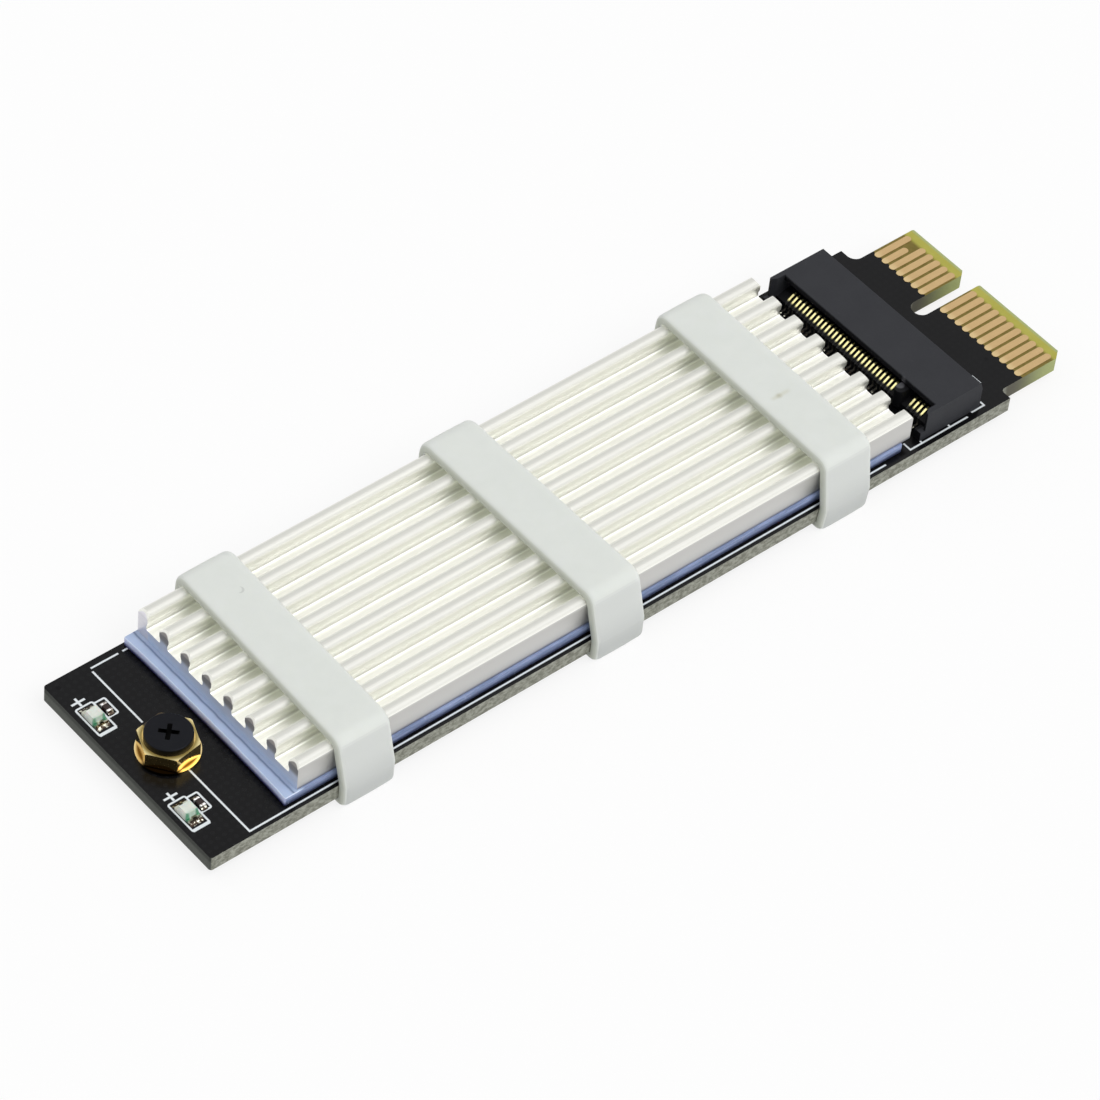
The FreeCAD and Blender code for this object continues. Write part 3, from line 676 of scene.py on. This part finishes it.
HEAD_ROUND = 0.58 * MM  # radius of the heatsink's outer heads, where a band bends
BAND_WALL = board_low.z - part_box("band_middle")[0].z
BAND_ROUND = 0.55 * MM
BAND_CHAMFER = 0.12 * MM
BAND_LIFT = 0.012 * MM  # clear of what the band lies on
BAND_TRIM = 0.06 * MM  # off the width of its box
BAND_CROWN = 0.05  # share of the wall lost at its borders
BAND_STEP = 0.6 * MM
TURN_STEPS = 8


def hull_path():
    """Points and outward directions of a tight loop round the board and heatsink."""
    head_z = sink_high.z - HEAD_ROUND
    # Y, Z and radius of each corner that the loop bends over
    rollers = [
        (board_low.y, board_low.z, 0.0),
        (board_high.y, board_low.z, 0.0),
        (board_high.y, board_high.z, 0.0),
        (sink_high.y - HEAD_ROUND, head_z, HEAD_ROUND),
        (sink_low.y + HEAD_ROUND, head_z, HEAD_ROUND),
        (board_low.y, board_high.z, 0.0),
    ]
    runs = []
    for i, one in enumerate(rollers):
        two = rollers[(i + 1) % len(rollers)]
        heading = math.atan2(two[1] - one[1], two[0] - one[0])
        run = math.dist(one[:2], two[:2])
        runs.append(heading - math.pi / 2 + math.asin((one[2] - two[2]) / run))
    path = []
    for i, (y, z, radius) in enumerate(rollers):
        start = runs[i - 1]
        end = runs[i]
        while end < start:
            end += 2 * math.pi
        for k in range(TURN_STEPS + 1):
            angle = start + (end - start) * k / TURN_STEPS
            out = Vector((0, math.cos(angle), math.sin(angle)))
            path.append((Vector((0, y, z)) + out * radius, out))
        next_y, next_z, next_radius = rollers[(i + 1) % len(rollers)]
        out = Vector((0, math.cos(runs[i]), math.sin(runs[i])))
        leaving = Vector((0, y, z)) + out * radius
        reaching = Vector((0, next_y, next_z)) + out * next_radius
        steps = max(2, int((reaching - leaving).length / BAND_STEP))
        for k in range(1, steps):
            path.append((leaving.lerp(reaching, k / steps), out))
    return path


def band_section(width):
    """Section of a band with rounded shoulders, as (across, out), out from 0 to the wall."""
    half = width / 2
    flat = half - BAND_ROUND
    right = []
    for k in range(7):
        angle = math.pi / 2 * k / 6
        right.append((flat + BAND_ROUND * math.cos(angle),
                      BAND_WALL - BAND_ROUND + BAND_ROUND * math.sin(angle)))
    top = [(flat * (1 - 2 * k / 12), BAND_WALL) for k in range(1, 12)]
    left = [(-across, out) for across, out in reversed(right)]
    under = half - BAND_CHAMFER
    below = [(-half, BAND_CHAMFER), (-under, BAND_LIFT), (0, BAND_LIFT), (under, BAND_LIFT),
             (half, BAND_CHAMFER)]
    return right + top + left + below


def make_band(node, far_lean, near_lean, foot_lean):
    """Elastic band with its shifts along the card, in mm: far, near above and near below."""
    low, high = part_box(node)
    middle = (low.x + high.x) / 2
    section = band_section(high.x - low.x - BAND_TRIM)
    path = hull_path()
    points = []
    for base, out in path:
        share = (base.y - board_low.y) / (board_high.y - board_low.y)
        rise = (base.z - board_low.z) / (sink_high.z - board_low.z)
        near = foot_lean + (near_lean - foot_lean) * rise
        lean = (near + (far_lean - near) * share) * MM
        for across, height in section:
            crown = 1 - BAND_CROWN * (abs(across) / (high.x - low.x) * 2) ** 2
            points.append(base + out * height * crown + Vector((middle + lean + across, 0, 0)))
    faces = tube_faces(len(path), len(section), True)
    piece = place_mesh(node + "_strap", points, faces, silicone)
    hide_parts(node)


PAD_CORNER = 0.22 * MM
PAD_STEP = 0.5 * MM
PAD_WOBBLE = 0.04 * MM
PAD_HOLLOW = 0.18 * MM
PAD_PROFILE = ((0.16, 0.0), (0.06, 0.0), (0.0, 0.06), (0.0, 0.5), (0.0, 0.92), (0.07, 1.0),
               (0.16, 1.0))  # mm in from the cut edge, and share of the thickness
PAD_WOBBLY_RIM = 0.1  # mm; rings further in than this stay straight
PAD_SEED = 11


def pad_outline():
    """Points and outward directions round the pad, close enough for an uneven edge."""
    left, right = pad_low.x + PAD_CORNER, pad_high.x - PAD_CORNER
    near, far = pad_low.y + PAD_CORNER, pad_high.y - PAD_CORNER
    around = []
    for x, y, start in ((right, far, 0), (left, far, 90), (left, near, 180), (right, near, 270)):
        for k in range(5):
            angle = math.radians(start + 90 * k / 4)
            out = Vector((math.cos(angle), math.sin(angle), 0))
            around.append((Vector((x, y, 0)) + out * PAD_CORNER, out))
    dense = []
    for i, (spot, out) in enumerate(around):
        next_spot, next_out = around[(i + 1) % len(around)]
        steps = max(1, int((next_spot - spot).length / PAD_STEP))
        for k in range(steps):
            share = k / steps
            dense.append((spot.lerp(next_spot, share), out.lerp(next_out, share).normalized()))
    return dense


def make_pad():
    """Thermal pad with rounded, slightly uneven cut edges."""
    dice = random.Random(PAD_SEED)
    dense = pad_outline()
    count = len(dense)
    wave = [dice.uniform(-1, 1) for _ in range(count)]
    smooth = [sum(wave[(i + j) % count] for j in range(-4, 5)) / 9 for i in range(count)]
    points = []
    for inset, height in PAD_PROFILE:
        for i, (spot, out) in enumerate(dense):
            wobble = PAD_WOBBLE * (1 + smooth[i]) if inset < PAD_WOBBLY_RIM else 0.0
            bow = 1 - (2 * (spot.y - pad_low.y) / (pad_high.y - pad_low.y) - 1) ** 4
            hollow = PAD_HOLLOW * bow if spot.x < pad_low.x + PAD_CORNER else 0.0
            where = spot - out * (inset * MM + wobble)
            level = pad_low.z + (pad_high.z - pad_low.z) * height
            points.append(Vector((where.x + hollow, where.y, level)))
    faces = tube_faces(len(PAD_PROFILE), count, False)
    faces.append(tuple(reversed(range(count))))
    faces.append(tuple(range((len(PAD_PROFILE) - 1) * count, len(PAD_PROFILE) * count)))
    piece = place_mesh("thermal_pad_cut", points, faces, pad_blue)
    for face in piece.data.polygons[-2 - count:]:
        face.use_smooth = False
    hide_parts("thermal_pad")


def solder_beads(name, places, length, width, height):
    """Low solder beads over contact tails, in one piece."""
    points = []
    faces = []
    rings, around = 4, 12
    for x, y in places:
        first = len(points)
        for i in range(rings):
            lift = math.sin(math.pi / 2 * i / rings)
            spread = math.cos(math.pi / 2 * i / rings)
            for j in range(around):
                angle = math.tau * j / around
                points.append((x + spread * length / 2 * math.cos(angle),
                               y + spread * width / 2 * math.sin(angle), top_z + height * lift))
        points.append((x, y, top_z + height))
        for a, b, c, d in tube_faces(rings, around, False):
            faces.append((first + a, first + b, first + c, first + d))
        last = first + (rings - 1) * around
        for j in range(around):
            faces.append((last + j, last + (j + 1) % around, first + rings * around))
        faces.append(tuple(first + j for j in reversed(range(around))))
    piece = place_mesh(name, points, faces, solder)


def contact_places(start, near_count):
    """Places of one row's contact tails, with none where the socket's key stands."""
    middle = (tails_low.y + tails_high.y) / 2
    keyed_end = near_count + KEYED_CONTACTS
    total = keyed_end + FAR_CONTACTS
    first = middle - (total - 1) / 2 * CONTACT_PITCH * MM
    row = [first + CONTACT_PITCH * MM * i for i in range(total)]
    return [(start, y) for y in row[:near_count] + row[keyed_end:]]


# Floor, light and camera

FLOOR_SIZE = 4.0
FLOOR_GLOW = 0.82
SKY_LIGHT = 0.5
CAMERA_AZIMUTH = math.radians(-45.057)
CAMERA_ELEVATION = math.radians(46.918)
CAMERA_ROLL = math.radians(6.831)
CAMERA_AIM = on_card(45.202, 10.188)
CAMERA_DISTANCE = 453.679 * MM
CAMERA_LENS = 169.46267  # mm, on a sensor 36 mm wide


def floor_finish():
    """Pale floor that stays white where it's seen directly, and keeps a soft shadow."""
    finish = Finish("studio_floor", Base_Color=(0.98, 0.98, 0.98, 1.0), Roughness=0.9,
                    Specular_IOR_Level=0.0)
    glow = finish.add("Emission", {}, {})
    lit = Level(finish, finish.shader.outputs[0])
    share = finish.seen_directly() * FLOOR_GLOW
    blend = finish.add("MixShader", {}, {0: share, 1: lit, 2: glow})
    finish.links.new(blend.socket, finish.nodes["Material Output"].inputs["Surface"])
    return finish.material


def add_floor():
    """Wide floor under the card."""
    bpy.ops.mesh.primitive_plane_add(size=FLOOR_SIZE, location=(0, 0, cad_box[0].z))
    floor = bpy.context.object
    floor.name = "studio_floor"
    floor.data.materials.append(floor_finish())


def add_sun(name, toward, strength, spread):
    """A distant soft lamp that shines from the given direction, spread over some degrees."""
    lamp = bpy.data.lights.new(name, "SUN")
    lamp.energy = strength
    lamp.angle = math.radians(spread)
    holder = bpy.data.objects.new(name, lamp)
    holder.rotation_euler = Vector(toward).to_track_quat("Z", "Y").to_euler()
    bpy.context.scene.collection.objects.link(holder)


def add_sky():
    """White surroundings, which are dimmer as a light than where they're seen directly."""
    world = bpy.data.worlds.new("studio_light")
    world.use_nodes = True
    bpy.context.scene.world = world
    wiring = Wiring(world.node_tree)
    sky = wiring.nodes["Background"].inputs
    sky["Color"].default_value = (1.0, 1.0, 1.0, 1.0)
    strength = wiring.seen_directly() * (1 - SKY_LIGHT) + SKY_LIGHT
    wiring.links.new(strength.socket, sky["Strength"])


def add_camera():
    """Long lens that looks down on the lamp end and the near edge, a little rolled."""
    level = math.cos(CAMERA_ELEVATION)
    back = Vector((math.sin(CAMERA_AZIMUTH) * level, -math.cos(CAMERA_AZIMUTH) * level,
                   math.sin(CAMERA_ELEVATION)))
    right = Vector((0, 0, 1)).cross(back).normalized()
    up = back.cross(right)
    side = right * math.cos(CAMERA_ROLL) + up * math.sin(CAMERA_ROLL)
    over = up * math.cos(CAMERA_ROLL) - right * math.sin(CAMERA_ROLL)
    spot = CAMERA_AIM + back * CAMERA_DISTANCE
    lens = bpy.data.cameras.new("studio_camera")
    lens.sensor_width = 36
    lens.lens = CAMERA_LENS
    lens.clip_start = 0.01
    camera = bpy.data.objects.new("studio_camera", lens)
    camera.matrix_world = Matrix((
        (side.x, over.x, back.x, spot.x),
        (side.y, over.y, back.y, spot.y),
        (side.z, over.z, back.z, spot.z),
        (0, 0, 0, 1),
    ))
    bpy.context.scene.collection.objects.link(camera)
    bpy.context.scene.camera = camera
    bpy.context.scene.view_settings.view_transform = "Standard"


# The card

silicone = band_finish()
pad_blue = pad_finish()
solder = tin_finish("lamp_solder", paint(56, 46, 38), paint(222, 222, 204), 0.5, 0.66)
terminal_tin = tin_finish("tinned_metal", paint(112, 110, 92), paint(214, 212, 196), 0.48, 0.64)
cap_tin = tin_finish("resistor_cap_tin", paint(150, 144, 138), paint(246, 244, 243), 0.36, 0.5)
springs = spring_finish()
fingers = finger_finish()
glaze = ceramic_finish()

dressing = {
    "circuit_board": board_finish(),
    "edge_contacts_top": fingers,
    "edge_contacts_bottom": fingers,
    "heatsink": aluminium_finish(),
    "socket_housing": plastic_finish(),
    "socket_lower_contacts": springs,
    "socket_upper_contacts": springs,
    "standoff": standoff_finish(),
    "standoff_screw": screw_finish(),
    "lamp_solder": solder,
    "resistor_solder": solder,
}
for side, near_end in LAMP_STARTS.items():
    dressing["lamp_" + side + "_body"] = carrier_finish(near_end)
    dressing["lamp_" + side + "_lens"] = lens_finish(near_end)
    dressing["lamp_" + side + "_terminals"] = terminal_tin
    dressing["resistor_" + side + "_body"] = glaze
    dressing["resistor_" + side + "_caps"] = cap_tin
for node, material in dressing.items():
    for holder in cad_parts[node].material_slots:
        holder.material = material

make_band("band_left", far_lean=0.5, near_lean=-0.25, foot_lean=-0.25)
make_band("band_middle", far_lean=-0.1, near_lean=0.05, foot_lean=0.05)
make_band("band_right", far_lean=0.6, near_lean=0.25, foot_lean=-0.4)
make_pad()
solder_beads("front_tail_solder", contact_places(tails_low.x, FRONT_NEAR_CONTACTS),
             length=0.4 * MM, width=0.26 * MM, height=0.08 * MM)
solder_beads("rear_tail_solder", contact_places(rear_tails_end - 0.2 * MM, REAR_NEAR_CONTACTS),
             length=0.6 * MM, width=0.3 * MM, height=0.2 * MM)

add_floor()
add_sun("key_lamp", toward=(0.25, -0.55, 0.85), strength=1.4, spread=48)
add_sun("fill_lamp", toward=(-0.5, 0.5, 0.7), strength=0.3, spread=60)
add_sky()
add_camera()
